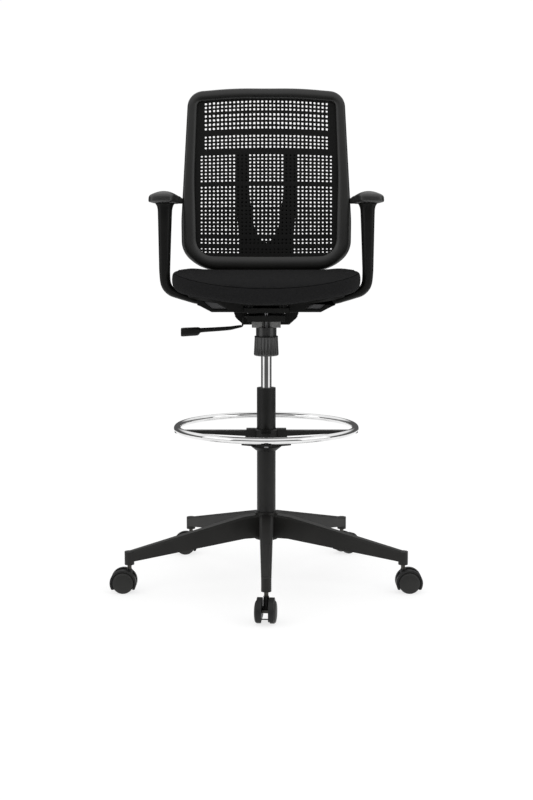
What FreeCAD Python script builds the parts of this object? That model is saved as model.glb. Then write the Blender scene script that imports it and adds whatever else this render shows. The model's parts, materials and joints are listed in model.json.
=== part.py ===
import FreeCAD, Part
import math
import os
from types import SimpleNamespace

import Sketcher
from FreeCAD import Placement, Rotation, Vector

# Drafting chair. The origin is on the floor under the gas column; +Z is up, +X is to the left
# of a sitting person, and the seat faces -Y.

DIMENSIONS = {
    # five-spoke base and column
    "hub_radius": 30.5,
    "hub_bottom": 117,
    "hub_top": 191,
    "leg_root_top": 185.5,
    "leg_knee_reach": 66,
    "leg_knee_top": 181.5,
    "leg_root_bottom": 122.8,
    "leg_tip_top": 109,
    "leg_tip_bottom": 82,
    "leg_root_width": 34,
    "leg_tip_width": 24,
    "leg_bevel": 5,
    "stem_reach": 375,
    "socket_bottom": 74,
    "socket_depth": 26,
    "tube_radius": 25,
    "tube_wall": 3,
    "tube_bottom": 128,
    "tube_top": 525,
    "bushing_length": 100,
    "bearing_radius": 14,
    "bearing_thick": 6,
    # gas lift
    "rod_radius": 5,
    "rod_bottom": 120,
    "piston_low": 470,
    "piston_thick": 20,
    "lift_radius": 14,
    "lift_bore": 12.05,
    "lift_bottom": 330,
    "lift_plug": 690,
    "lift_top": 712,
    "valve_radius": 4,
    "valve_low": 695,
    "valve_top": 719,
    "running_gap": 0.05,
    # tilt mechanism
    "housing_half": 48.6,
    "housing_front": -110,
    "housing_rear": 50,
    "housing_low": 706,
    "housing_high": 721,
    "steel_wall": 3,
    "block_half": 37,
    "block_low": 690,
    "pivot_rear": 22,
    "pivot_height": 714.5,
    "pivot_radius": 5,
    "knob_front": -80,
    "knob_low": 617,
    "knob_high": 668,
    "knob_low_radius": 32.5,
    "knob_high_radius": 29.5,
    "knob_bore": 27.5,
    "cup_radius": 26.5,
    "spring_radius": 18,
    "spring_wire": 5,
    "spring_turns": 7,
    "bolt_head": 8,
    "plate_half": 57,
    "plate_front": -120,
    "plate_rear": 110,
    "plate_low": 729,
    "plate_high": 741,
    # height lever
    "lever_front": -15,
    "lever_wire": 2.5,
    "lever_height": 715,
    "grip_start": 96,
    "grip_neck": 176,
    "grip_end": 224,
    # seat
    "seat_half": 247,
    "seat_front": -255,
    "seat_rear": 181,
    "seat_under": 759,
    "seat_bow": 1064,
    "seat_crown": 832.5,
    "pan_half": 204,
    "pan_thick": 6,
    # arms
    "arm_middle": -20,
    "arm_depth": 60,
    "pad_inner": 229,
    "pad_outer": 300,
    "pad_front": -130,
    "pad_rear": 115,
    "pad_low": 1008,
    "pad_high": 1037,
    "link_low": 1011,
    "link_high": 1033,
    # back
    "back_foot_rear": 165,
    "back_foot_height": 829,
    "back_rake": 9.09,
    "back_length": 508,
    "back_shoulder": 491.5,
    "back_top_half": 215,
    "back_mid_half": 233,
    "back_mid": 137,
    "back_heel_half": 172,
    "back_low_half": 231.5,
    "back_low": 47,
    "frame_thick": 20,
    "back_bow": 1000,
    "mesh_depth": 7,
    "mesh_thick": 2.5,
    "support_thick": 12,
    # foot ring
    "ring_radius": 237,
    "ring_tube": 8.5,
    "ring_height": 418.6,
    "ring_hub_top": 415,
    "ring_hub_bottom": 369.3,
    "spoke_width": 26,
    "spoke_depth": 14,
    "spoke_tip_depth": 5,
    "collar_bottom": 357,
    # casters
    "wheel_radius": 28,
    "wheel_inner": 10.2,
    "wheel_outer": 28.2,
    "axle_radius": 4,
    "trail": 16,
    "hood_radius": 34.5,
    "hood_rim": 5.3,
    "cheek_inner": 8.2,
    "cheek_outer": 9.8,
    "fender_half": 21,
    "stem_radius": 5.5,
    "hood_top": 62,
}

doc = FreeCAD.newDocument("drafting_chair")
sheet = doc.addObject("Spreadsheet::Sheet", "sizes")
for row, (name, number) in enumerate(DIMENSIONS.items(), start=1):
    sheet.set("A%d" % row, name)
    sheet.set("B%d" % row, str(number))
    sheet.setAlias("B%d" % row, name)
doc.recompute()


class Size:
    """A length that carries its number and the spreadsheet formula it comes from."""

    def __init__(self, value, formula):
        self.value = value
        self.formula = formula

    def __add__(self, other):
        return Size(self.value + number(other), "(%s + %s)" % (self.formula, formula(other)))

    def __sub__(self, other):
        return Size(self.value - number(other), "(%s - %s)" % (self.formula, formula(other)))

    def __mul__(self, other):
        return Size(self.value * number(other), "(%s * %s)" % (self.formula, formula(other)))

    def __truediv__(self, other):
        return Size(self.value / number(other), "(%s / %s)" % (self.formula, formula(other)))

    def __rsub__(self, other):
        return -self + other

    def __neg__(self):
        return Size(-self.value, "(0 - %s)" % self.formula)

    __radd__ = __add__
    __rmul__ = __mul__


def number(size):
    return size.value if isinstance(size, Size) else size


def formula(size):
    return size.formula if isinstance(size, Size) else repr(size)


dim = SimpleNamespace(**{name: Size(value, "sizes." + name) for name, value in DIMENSIONS.items()})
nodes = {}


def bind(target, prop, size):
    """Drive a property from the spreadsheet; a plain number is set as it is."""
    if isinstance(size, Size):
        target.setExpression(prop, size.formula)
    else:
        setattr(target, prop, size)


def locate(target, spot, rotation=Rotation()):
    """Place an object; each coordinate that is a Size follows the spreadsheet."""
    target.Placement = Placement(Vector(*[number(size) for size in spot]), rotation)
    for axis, size in zip("xyz", spot):
        if isinstance(size, Size):
            target.setExpression("Placement.Base." + axis, size.formula)
    return target


def keep(label, made):
    """Register a finished sub-part under its node name."""
    made.Label = label
    nodes[label] = made
    return made


# ---- part design helpers -----------------------------------------------------------------------

def new_body(label):
    return keep(label, doc.addObject("PartDesign::Body", label + "_body"))


def new_sketch(body, role, offset=None):
    """A sketch on one of the body's own origin planes, moved along the plane's normal."""
    sketch = body.newObject("Sketcher::SketchObject", "sketch")
    plane = [item for item in body.Origin.OriginFeatures if item.Role == role][0]
    sketch.AttachmentSupport = (plane, "")
    sketch.MapMode = "FlatFace"
    if offset is not None:
        sketch.AttachmentOffset = Placement(Vector(0, 0, number(offset)), Rotation())
        if isinstance(offset, Size):
            sketch.setExpression("AttachmentOffset.Base.z", offset.formula)
    return sketch


def hold(sketch, kind, curve, end, size):
    """Fix one coordinate of a sketch point to a size."""
    if abs(number(size)) < 1e-9:
        axis = -2 if kind == "DistanceX" else -1
        sketch.addConstraint(Sketcher.Constraint("PointOnObject", curve, end, axis))
        return
    index = sketch.addConstraint(Sketcher.Constraint(kind, curve, end, number(size)))
    if isinstance(size, Size):
        sketch.setExpression("Constraints[%d]" % index, size.formula)


def outline(sketch, points):
    """A closed run of lines through the points."""
    first = sketch.GeometryCount
    count = len(points)
    corners = [Vector(number(across), number(up), 0) for across, up in points]
    for i in range(count):
        sketch.addGeometry(Part.LineSegment(corners[i], corners[(i + 1) % count]), False)
    for i in range(count):
        sketch.addConstraint(Sketcher.Constraint("Coincident", first + i, 2, first + (i + 1) % count, 1))
    for i, (across, up) in enumerate(points):
        hold(sketch, "DistanceX", first + i, 1, across)
        hold(sketch, "DistanceY", first + i, 1, up)
    return sketch


def ring(sketch, across, up, radius):
    """A circle of a given radius about a given point."""
    centre = Vector(number(across), number(up), 0)
    curve = sketch.addGeometry(Part.Circle(centre, Vector(0, 0, 1), number(radius)), False)
    hold(sketch, "DistanceX", curve, 3, across)
    hold(sketch, "DistanceY", curve, 3, up)
    index = sketch.addConstraint(Sketcher.Constraint("Radius", curve, number(radius)))
    if isinstance(radius, Size):
        sketch.setExpression("Constraints[%d]" % index, radius.formula)
    return sketch


def feature(body, kind, sketch):
    made = body.newObject("PartDesign::" + kind, kind.lower())
    made.Profile = sketch
    return made


def pad(body, sketch, length, centred=False, flip=False):
    made = feature(body, "Pad", sketch)
    bind(made, "Length", length)
    made.SideType = "Symmetric" if centred else "One side"
    made.Reversed = flip
    doc.recompute()
    return made


def pocket(body, sketch, length, centred=False, flip=False):
    before = body.Shape.Volume
    made = feature(body, "Pocket", sketch)
    bind(made, "Length", length)
    made.SideType = "Symmetric" if centred else "One side"
    made.Reversed = flip
    doc.recompute()
    if body.Shape.Volume > before - 1e-3:
        raise RuntimeError("%s: a pocket cuts nothing" % body.Label)
    return made


def turn(body, sketch, cut=False):
    """Revolve the sketch once round its vertical axis."""
    made = feature(body, "Groove" if cut else "Revolution", sketch)
    made.ReferenceAxis = (sketch, ["V_Axis"])
    made.Angle = 360
    doc.recompute()
    return made


def spin(body, originals, count):
    """Repeat features round the body's Z axis."""
    made = body.newObject("PartDesign::PolarPattern", "pattern")
    made.Originals = originals
    axis = [item for item in body.Origin.OriginFeatures if item.Role == "Z_Axis"][0]
    made.Axis = (axis, [""])
    made.Angle = 360
    made.Occurrences = count
    body.Tip = made
    doc.recompute()
    return made


def round_edges(body, base, radius, chosen):
    """Fillet the edges of a feature for which chosen(edge) holds."""
    names = ["Edge%d" % (i + 1) for i, edge in enumerate(base.Shape.Edges) if chosen(edge)]
    if not names:
        raise RuntimeError("%s: no edge to round" % body.Label)
    made = body.newObject("PartDesign::Fillet", "fillet")
    made.Base = (base, names)
    bind(made, "Radius", radius)
    doc.recompute()
    return made


def turned(label, points, centre=None):
    """A piece turned about a vertical axis, from its half-section of (radius, height) points."""
    body = new_body(label)
    turn(body, outline(new_sketch(body, "XZ_Plane"), points))
    if centre is not None:
        locate(body, centre)
    return body


def plate(label, points, width):
    """A piece of constant section across the chair: side-view points (y, z), centred width."""
    body = new_body(label)
    pad(body, outline(new_sketch(body, "YZ_Plane"), points), width, centred=True)
    return body


def along(edge, axis):
    """True for a straight edge that runs along the axis."""
    if edge.Curve.TypeId != "Part::GeomLine":
        return False
    return abs(abs(edge.Curve.Direction.dot(axis)) - 1) < 1e-6


# ---- primitive helpers -------------------------------------------------------------------------

def box(low, high):
    """A Part::Box between two corners."""
    made = doc.addObject("Part::Box", "block")
    for prop, start, end in zip(("Length", "Width", "Height"), low, high):
        bind(made, prop, end - start)
    return locate(made, low)


def cylinder(radius, height, base, direction=Vector(0, 0, 1)):
    """A Part::Cylinder that starts at base and runs along direction."""
    made = doc.addObject("Part::Cylinder", "round")
    bind(made, "Radius", radius)
    bind(made, "Height", height)
    return locate(made, base, Rotation(Vector(0, 0, 1), direction))


def fuse(parts):
    made = doc.addObject("Part::MultiFuse", "fusion")
    made.Shapes = parts
    made.Refine = True
    doc.recompute()
    return made


def cut(base, tool):
    made = doc.addObject("Part::Cut", "cut")
    made.Base = base
    made.Tool = tool
    made.Refine = True
    doc.recompute()
    return made


def common(base, tool):
    made = doc.addObject("Part::Common", "common")
    made.Base = base
    made.Tool = tool
    made.Refine = True
    doc.recompute()
    return made


def group(label, parts):
    """Identical loose pieces that share one node."""
    made = doc.addObject("Part::Compound", label + "_group")
    made.Links = parts
    return keep(label, made)


# ---- five-spoke base and column ----------------------------------------------------------------

SPOKES = 5
X_AXIS = Vector(1, 0, 0)
Y_AXIS = Vector(0, 1, 0)
Z_AXIS = Vector(0, 0, 1)


def leg_section(body, reach, width, top, bottom):
    """Bevelled section of a leg, square to the leg at a given reach from the column."""
    half = width / 2
    shoulder = top - dim.leg_bevel
    return outline(new_sketch(body, "XZ_Plane", reach), [
        (-half, bottom), (half, bottom), (half, shoulder), (half - dim.leg_bevel, top),
        (dim.leg_bevel - half, top), (-half, shoulder)])


def make_base_star():
    body = new_body("base_star")
    height = dim.hub_top - dim.hub_bottom
    pad(body, ring(new_sketch(body, "XY_Plane", dim.hub_bottom), 0, 0, dim.hub_radius), height)
    root = leg_section(body, dim.hub_radius - 8, dim.leg_root_width, dim.leg_root_top, dim.leg_root_bottom)
    knee = leg_section(body, dim.leg_knee_reach, dim.leg_root_width, dim.leg_knee_top, dim.leg_root_bottom)
    tip = leg_section(body, dim.stem_reach, dim.leg_tip_width, dim.leg_tip_top, dim.leg_tip_bottom)
    leg = feature(body, "AdditiveLoft", root)
    leg.Sections = [knee, tip]
    leg.Ruled = True
    doc.recompute()
    tip_radius = dim.leg_tip_width / 2 + 0.6
    socket = ring(new_sketch(body, "XY_Plane", dim.socket_bottom), 0, -dim.stem_reach, tip_radius)
    boss = pad(body, socket, dim.leg_tip_top - dim.socket_bottom - 0.4)
    spin(body, [leg, boss], SPOKES)
    seat = ring(new_sketch(body, "XY_Plane", dim.tube_bottom), 0, 0, dim.tube_radius)
    pocket(body, seat, dim.hub_top - dim.tube_bottom, flip=True)
    clip_hole = ring(new_sketch(body, "XY_Plane", dim.tube_bottom), 0, 0, dim.bearing_radius)
    pocket(body, clip_hole, dim.tube_bottom - dim.hub_bottom)
    bore = ring(new_sketch(body, "XY_Plane", dim.socket_bottom), 0, -dim.stem_reach, dim.stem_radius + 2)
    hole = pocket(body, bore, dim.socket_depth, flip=True)
    spin(body, [hole], SPOKES)


def around(index, reach):
    """Centre of the index-th leg tip, counted from the front leg towards +X."""
    angle = 2 * math.pi * index / SPOKES
    return reach * math.sin(angle), -(reach * math.cos(angle))


def make_caster_sleeves():
    sleeves = []
    for index in range(SPOKES):
        across, ahead = around(index, dim.stem_reach)
        base = (across, ahead, dim.socket_bottom)
        outer = cylinder(dim.stem_radius + 2, dim.socket_depth, base)
        inner = cylinder(dim.stem_radius + dim.running_gap, dim.socket_depth, base)
        sleeves.append(cut(outer, inner))
    group("caster_sleeves", sleeves)


def make_column():
    inner = dim.tube_radius - dim.tube_wall
    floor = dim.tube_bottom + 4
    hole = dim.rod_radius + dim.running_gap
    turned("column_tube", [
        (hole, dim.tube_bottom), (dim.tube_radius, dim.tube_bottom), (dim.tube_radius, dim.tube_top),
        (inner, dim.tube_top), (inner, floor), (hole, floor)])
    guide = dim.lift_radius + dim.running_gap
    low = dim.tube_top - dim.bushing_length
    turned("guide_bushing", [(guide, low), (inner, low), (inner, dim.tube_top), (guide, dim.tube_top)])
    race = floor + dim.bearing_thick
    turned("thrust_bearing", [
        (hole, floor), (dim.bearing_radius, floor), (dim.bearing_radius, race), (hole, race)])
    shoulder = race + dim.running_gap
    piston_high = dim.piston_low + dim.piston_thick
    turned("piston_rod", [
        (0, dim.rod_bottom), (dim.rod_radius, dim.rod_bottom), (dim.rod_radius, shoulder), (9, shoulder),
        (9, shoulder + 4), (dim.rod_radius, shoulder + 4), (dim.rod_radius, dim.piston_low),
        (12, dim.piston_low), (12, piston_high), (0, piston_high)])
    clip = dim.tube_bottom - 3.5
    turned("retaining_clip", [(dim.rod_radius, clip), (9, clip), (9, clip + 3), (dim.rod_radius, clip + 3)])
    pin_bore = dim.valve_radius + dim.running_gap
    turned("lift_cylinder", [
        (hole, dim.lift_bottom), (dim.lift_radius, dim.lift_bottom), (dim.lift_radius, dim.lift_top),
        (pin_bore, dim.lift_top), (pin_bore, dim.lift_plug), (dim.lift_bore, dim.lift_plug),
        (dim.lift_bore, dim.lift_bottom + 4), (hole, dim.lift_bottom + 4)])
    turned("release_pin", [
        (0, dim.valve_low), (dim.valve_radius, dim.valve_low), (dim.valve_radius, dim.valve_top - 2),
        (dim.valve_radius - 1, dim.valve_top), (0, dim.valve_top)])


# ---- tilt mechanism ----------------------------------------------------------------------------

EAR_GAP = 9          # half the length of the plate's hinge lugs
EAR_START = 5        # front face of the pivot covers
LIP_THICK = 2.5      # wall of a cover in front of the plate's lug
SLOT_HALF = 7        # half the slot in the housing wall that the lever passes through


def make_housing():
    half = dim.housing_half
    wall = dim.steel_wall
    shell = box((-half, dim.housing_front, dim.housing_low), (half, dim.housing_rear, dim.housing_high))
    hollow = box((wall - half, dim.housing_front + wall, dim.housing_low + wall),
                 (half - wall, dim.housing_rear - wall, dim.housing_high + wall))
    column = cylinder(dim.lift_radius, 20, (0, 0, dim.housing_low - 5))
    bolt = cylinder(dim.rod_radius + dim.running_gap, 20, (0, dim.knob_front, dim.housing_low - 5))
    pin = cylinder(dim.pivot_radius, half * 2 + 4, (-half - 2, dim.pivot_rear, dim.pivot_height), X_AXIS)
    slot = box((-half - 1, dim.lever_front - SLOT_HALF, dim.housing_low + wall),
               (wall + 1 - half, dim.lever_front + SLOT_HALF, dim.housing_high + 1))
    keep("tilt_housing", cut(shell, fuse([hollow, column, bolt, pin, slot])))


def make_mount_block():
    half = dim.block_half
    front = dim.knob_front - 17
    block = box((-half, front, dim.block_low), (half, 20, dim.housing_low))
    notch = box((-11, front - 1, dim.block_low - 1), (11, dim.knob_front + 14, dim.housing_low + 1))
    column = cylinder(dim.lift_radius, 30, (0, 0, dim.block_low - 5))
    keep("mount_block", cut(block, fuse([notch, column])))


def make_pivot():
    reach = dim.plate_half + 26
    spot = (-reach, dim.pivot_rear, dim.pivot_height)
    keep("pivot_pin", cylinder(dim.pivot_radius, reach * 2, spot, X_AXIS))
    covers = []
    inner = dim.plate_half + 0.5
    toe = dim.block_half + 1
    high = dim.housing_high + 1
    low = dim.block_low + 1
    shelf = dim.housing_low - 2
    for side in (-1, 1):
        body = doc.addObject("PartDesign::Body", "pivot_cover_body")
        drawn = outline(new_sketch(body, "XZ_Plane", -EAR_START), [
            (side * inner, high), (side * (inner + 28), high), (side * (inner + 22), shelf + 4),
            (side * (inner + 3), low), (side * toe, low), (side * toe, shelf), (side * inner, shelf)])
        pad(body, drawn, dim.housing_rear - EAR_START, flip=True)
        lip = outline(new_sketch(body, "XZ_Plane", -EAR_START), [
            (side * (dim.housing_half + 0.8), shelf), (side * inner, shelf), (side * inner, high),
            (side * (dim.housing_half + 0.8), high)])
        pad(body, lip, LIP_THICK, flip=True)
        hole = cylinder(dim.pivot_radius, 60, (side * 75 - 30, dim.pivot_rear, dim.pivot_height), X_AXIS)
        covers.append(cut(body, hole))
    group("pivot_covers", covers)


def make_tension_knob():
    axis = (0, dim.knob_front, 0)
    hole = dim.rod_radius + dim.running_gap
    wall = dim.cup_radius - 2
    turned("spring_cup", [
        (wall, dim.knob_high), (dim.cup_radius, dim.knob_high), (dim.cup_radius, dim.block_low),
        (hole, dim.block_low), (hole, dim.block_low - 3), (wall, dim.block_low - 3)], axis)
    head = dim.plate_low + 4
    turned("tension_bolt", [
        (0, dim.knob_low + 2), (dim.rod_radius, dim.knob_low + 2), (dim.rod_radius, head),
        (dim.bolt_head, head), (dim.bolt_head, dim.plate_high - 2), (0, dim.plate_high - 2)], axis)
    low = dim.knob_low
    knob = turned("tension_knob", [
        (hole, low), (dim.knob_low_radius - 2, low), (dim.knob_low_radius, low + 2),
        (dim.knob_high_radius, dim.knob_high), (dim.knob_bore, dim.knob_high), (dim.knob_bore, low + 6),
        (10, low + 6), (10, low + 16), (hole, low + 16)], axis)
    flute = ring(new_sketch(knob, "XY_Plane", dim.knob_low - 1), dim.knob_low_radius + 0.5, 0, 2.8)
    groove = pocket(knob, flute, dim.knob_high - dim.knob_low + 2, flip=True)
    spin(knob, [groove], 14)
    make_tension_spring()


def make_tension_spring():
    """Coil between the knob's floor and the cup's ceiling."""
    wire = number(dim.spring_wire) / 2
    low = number(dim.knob_low) + 6.5 + wire
    high = number(dim.block_low) - 3.5 - wire
    radius = number(dim.spring_radius)
    helix = Part.makeHelix((high - low) / number(dim.spring_turns), high - low, radius)
    section = Part.Wire(Part.makeCircle(wire, Vector(radius, 0, 0), Y_AXIS))
    coil = doc.addObject("Part::Feature", "tension_spring_coil")
    coil.Shape = Part.Wire(helix.Edges).makePipeShell([section], True, True)
    coil.Placement = Placement(Vector(0, number(dim.knob_front), low), Rotation())
    keep("tension_spring", coil)


def make_seat_plate():
    half = dim.plate_half
    wall = dim.steel_wall
    shell = box((-half, dim.plate_front, dim.plate_low), (half, dim.plate_rear, dim.plate_high))
    hollow = box((wall - half, dim.plate_front + wall, dim.plate_low - 1),
                 (half - wall, dim.plate_rear - wall, dim.plate_high - wall))
    tray = cut(shell, hollow)
    lugs = [box((low, dim.pivot_rear - EAR_GAP, dim.housing_low + 1),
                (low + 5, dim.pivot_rear + EAR_GAP, dim.plate_high - wall))
            for low in (dim.housing_half + 1.4, -dim.housing_half - 6.4)]
    spot = (-half, dim.pivot_rear, dim.pivot_height)
    pin = cylinder(dim.pivot_radius + dim.running_gap, half * 2, spot, X_AXIS)
    window = box((-12, dim.knob_front - 17, dim.plate_low), (12, dim.knob_front + 14, dim.plate_high + 1))
    holes = [cylinder(4, 20, (across, back, dim.plate_high - 8)) for across, back in BOLT_PLACES]
    keep("seat_plate", cut(fuse([tray] + lugs), fuse([pin, window] + holes)))


# ---- height lever ------------------------------------------------------------------------------

def make_lever():
    wall = dim.housing_half - 1.5
    spot = (-wall - 6, dim.lever_front, dim.lever_height)
    sleeve = cylinder(5.5, 17, spot, X_AXIS)
    bore = cylinder(dim.lever_wire + 1.2, 17, spot, X_AXIS)
    eye = cylinder(3.25, 12, (-wall, dim.lever_front - 6, dim.lever_height), Y_AXIS)
    keep("lever_bushing", cut(sleeve, fuse([bore, eye])))

    front = number(dim.lever_front)
    height = number(dim.lever_height)
    wire = number(dim.lever_wire)
    start = -number(dim.grip_start)
    inside = -number(wall) + 13
    rest = number(dim.valve_top) + wire + 0.1
    stops = [Vector(start, front, 680.5), Vector(-62.5, front, 688.5), Vector(-59.6, front, height),
             Vector(inside, front, height), Vector(-17, front * 0.6, rest), Vector(0, 0, rest),
             Vector(15, 0, rest + 1.7)]
    path = rounded_path(stops, 5.8)
    section = Part.Wire(Part.makeCircle(wire, stops[0], stops[1] - stops[0]))
    rod = doc.addObject("Part::Feature", "height_lever_wire")
    rod.Shape = path.makePipeShell([section], True, True)
    trunnion = cylinder(3.2, 10.4, (-wall, dim.lever_front - 5.2, dim.lever_height), Y_AXIS)
    keep("height_lever", fuse([rod, trunnion]))

    body = new_body("lever_grip")
    stations = [(dim.grip_start, 5.5, 675, 686), (dim.grip_neck, 6, 672, 684),
                (dim.grip_neck + 16, 12, 670, 684), (dim.grip_end, 17, 663, 684)]
    sections = []
    for reach, half, low, high in stations:
        near = dim.lever_front - half
        far = dim.lever_front + half
        sections.append(outline(new_sketch(body, "YZ_Plane", -reach), [
            (near + 3, low), (far - 3, low), (far, low + 3), (far, high - 3),
            (far - 3, high), (near + 3, high), (near, high - 3), (near, low + 3)]))
    grip = feature(body, "AdditiveLoft", sections[0])
    grip.Sections = sections[1:]
    grip.Ruled = True
    doc.recompute()


def rounded_path(stops, radius):
    """Straight runs joined by tangent arcs of one radius."""
    pieces = []
    start = stops[0]
    for before, corner, after in zip(stops, stops[1:], stops[2:]):
        inward = (before - corner).normalize()
        outward = (after - corner).normalize()
        half_angle = inward.getAngle(outward) / 2
        leg = radius / math.tan(half_angle)
        first = corner + inward * leg
        last = corner + outward * leg
        bisector = (inward + outward).normalize()
        middle = corner + bisector * (radius / math.sin(half_angle) - radius)
        pieces.append(Part.LineSegment(start, first).toShape())
        pieces.append(Part.Arc(first, middle, last).toShape())
        start = last
    pieces.append(Part.LineSegment(start, stops[-1]).toShape())
    return Part.Wire(pieces)


# ---- seat --------------------------------------------------------------------------------------

BOLT_PLACES = [(-40, -104), (40, -104), (-40, 92), (40, 92), (0, 60), (0, 90)]
PAN_BOSSES = BOLT_PLACES[:4]
ARM_SCREW_PLACES = [(side * 191, back) for side in (-1, 1) for back in (-38, -2)]


def plan_prism(half_front, half, half_rear, front, rear, corner_front, corner_rear):
    """Upright block with the seat's plan outline and rounded corners."""
    body = doc.addObject("PartDesign::Body", "seat_outline")
    middle = front + (rear - front) * 0.46
    drawn = outline(new_sketch(body, "XY_Plane", dim.plate_low), [
        (-half_front, front), (half_front, front), (half, middle), (half_rear, rear),
        (-half_rear, rear), (-half, middle)])
    block = pad(body, drawn, 160)
    for depth, radius in ((front, corner_front), (rear, corner_rear), (middle, 250)):
        block = round_edges(body, block, radius, lambda edge: along(edge, Z_AXIS)
                            and abs(edge.Vertexes[0].Y - number(depth)) < 1)
    return body


def bow_cylinder(radius, height):
    """Long cylinder along the chair whose underside is at a height."""
    made = doc.addObject("Part::Cylinder", "seat_bow")
    bind(made, "Radius", radius)
    made.Height = 800
    return locate(made, (0, -400, height + radius), Rotation(X_AXIS, -90))


def side_profile():
    """Side view of the cushion: a rolled front, a crowned top and a rear that drops to clear the back."""
    body = doc.addObject("PartDesign::Body", "seat_side")
    front = dim.seat_front
    rear = dim.seat_rear
    top = dim.seat_crown
    pad(body, outline(new_sketch(body, "YZ_Plane"), [
        (front - 1, dim.plate_low), (front - 1, top - 42), (front + 2, top - 33), (front + 11, top - 26),
        (front + 55, top - 17), (front + 135, top - 6.5), (front + 215, top - 1.5), (front + 295, top),
        (rear - 71, top - 1.5), (rear - 41, top - 4.5), (rear - 23, top - 10), (rear - 9, top - 22),
        (rear + 1, top - 42), (rear + 1, dim.plate_low)]), 600, centred=True)
    return body


def make_seat():
    half = dim.seat_half
    outer = plan_prism(half - 11, half, half - 22, dim.seat_front, dim.seat_rear, 110, 70)
    lifted = common(outer, bow_cylinder(dim.seat_bow, dim.seat_under))
    keep("seat_cushion", common(lifted, side_profile()))

    half = dim.pan_half
    inner = plan_prism(half - 14, half, half - 20, dim.seat_front + 30, dim.seat_rear - 20, 90, 50)
    thick = bow_cylinder(dim.seat_bow + dim.pan_thick, dim.seat_under - dim.pan_thick)
    sheet_of_pan = common(inner, cut(thick, bow_cylinder(dim.seat_bow, dim.seat_under)))
    top = dim.seat_under - 1
    bosses = [cylinder(9, top - dim.plate_high, (across, back, dim.plate_high))
              for across, back in PAN_BOSSES]
    holes = [cylinder(4, 14, (across, back, dim.plate_high - 3)) for across, back in PAN_BOSSES]
    holes += [cylinder(3, 20, (across, back, top - 3)) for across, back in ARM_SCREW_PLACES]
    keep("seat_pan", cut(fuse([sheet_of_pan] + bosses), fuse(holes)))


def upright_bolt(across, back):
    """Bolt up through the seat plate, its head inside the plate's channel."""
    under = dim.plate_high - dim.steel_wall
    return fuse([cylinder(4, 14, (across, back, under)), cylinder(6.5, 4, (across, back, under - 4))])


def make_arm_bracket(side, label):
    """Moulded gusset between the mechanism and the arm's foot, with a recessed front panel."""
    body = new_body(label)
    low = dim.plate_low + 0.4
    drawn = outline(new_sketch(body, "XZ_Plane", 90), [
        (side * (dim.plate_half + 0.3), low), (side * 140, low), (side * 168, 744), (side * 177.2, 747.5),
        (side * 177.2, 762), (side * 125, 758), (side * 97, 755.8), (side * (dim.plate_half + 0.3), 752.6)])
    pad(body, drawn, 120, flip=True)
    panel = outline(new_sketch(body, "XZ_Plane", 90), [
        (side * 164, 759), (side * 126, 754), (side * 100, 737), (side * 138, 737)])
    pocket(body, panel, 4)


def make_arm(side, label):
    body = new_body(label)
    drawn = outline(new_sketch(body, "XZ_Plane", -dim.arm_middle), [
        (side * 288, dim.pad_low - 5), (side * 281, dim.pad_low - 18), (side * 278.5, 812),
        (side * 274, 787), (side * 211, 762.5),
        (side * 177.4, 747), (side * 177.4, 762), (side * 205, 768), (side * 221, 776),
        (side * 250, 787), (side * 250.5, 815), (side * 244, dim.pad_low - 18),
        (side * 237, dim.pad_low - 5)])
    block = pad(body, drawn, dim.arm_depth, centred=True)
    for across, up, radius in ((274, 787, 16), (250, 787, 10)):
        block = round_edges(body, block, radius, lambda edge: along(edge, Y_AXIS)
                            and abs(abs(edge.Vertexes[0].X) - across) < 1
                            and abs(edge.Vertexes[0].Z - up) < 1)
    ends = [number(dim.arm_middle) + sign * number(dim.arm_depth) / 2 for sign in (-1, 1)]
    round_edges(body, block, 3.5, lambda edge: is_rim(edge, ends))
    low = dim.pad_low - 5
    middle = (dim.pad_inner + dim.pad_outer) / 2
    rest = box((side * middle - 26, -95, low), (side * middle + 26, 75, dim.pad_low))
    holes = [cylinder(3, 20, (side * 191, back, 752)) for back in (-38, -2)]
    holes += [cylinder(2.5, 12, (side * middle, back, low)) for back in PAD_SCREW_BACKS]
    holes.append(link_pin(side, 230, 22))
    solid = cut(fuse([body, rest] + arm_link(side, middle, low)), fuse(holes))
    keep(label, solid)


def arm_link(side, middle, low):
    """Tongue under the pad, riser behind it and bar that turns inward to the side of the back."""
    tongue = box((side * middle - 13.5, 70, low), (side * middle + 13.5, 132, dim.pad_low))
    riser = box((side * middle - 13.5, dim.pad_rear + 1, low), (side * middle + 13.5, 132, dim.link_high))
    body = doc.addObject("PartDesign::Body", "link_body")
    bar = pad(body, outline(new_sketch(body, "XY_Plane", dim.link_low), [
        (side * 251, 124), (side * 278, 124), (side * 278, 142), (side * 256, 188),
        (side * 231.2, 188), (side * 231.2, 170), (side * 243, 164)]), dim.link_high - dim.link_low)
    round_edges(body, bar, 9, lambda edge: along(edge, Z_AXIS) and edge.Vertexes[0].Y > 140
                and abs(edge.Vertexes[0].X) > 240)
    return [tongue, riser, body]


def link_pin(side, start, length):
    """Cylinder across the joint between an arm's link and the side of the back."""
    spot = on_back(0, *LINK_PIN)
    across = start if side > 0 else -start - length
    return cylinder(2.5, length, (across, spot.y, spot.z), X_AXIS)


def is_rim(edge, ends):
    """True for an edge round the arm's front or rear face, but not at its foot or its top."""
    on_face = any(all(abs(corner.Y - end) < 0.1 for corner in edge.Vertexes) for end in ends)
    at_top = edge.BoundBox.ZMin > number(dim.pad_low) - 6
    at_foot = max(abs(edge.BoundBox.XMin), abs(edge.BoundBox.XMax)) < 178
    return on_face and not at_top and not at_foot


PAD_SCREW_BACKS = (-78, 58)
LINK_PIN = (-16.7, 192.8)  # depth and height of the pin in the back's own frame


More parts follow.
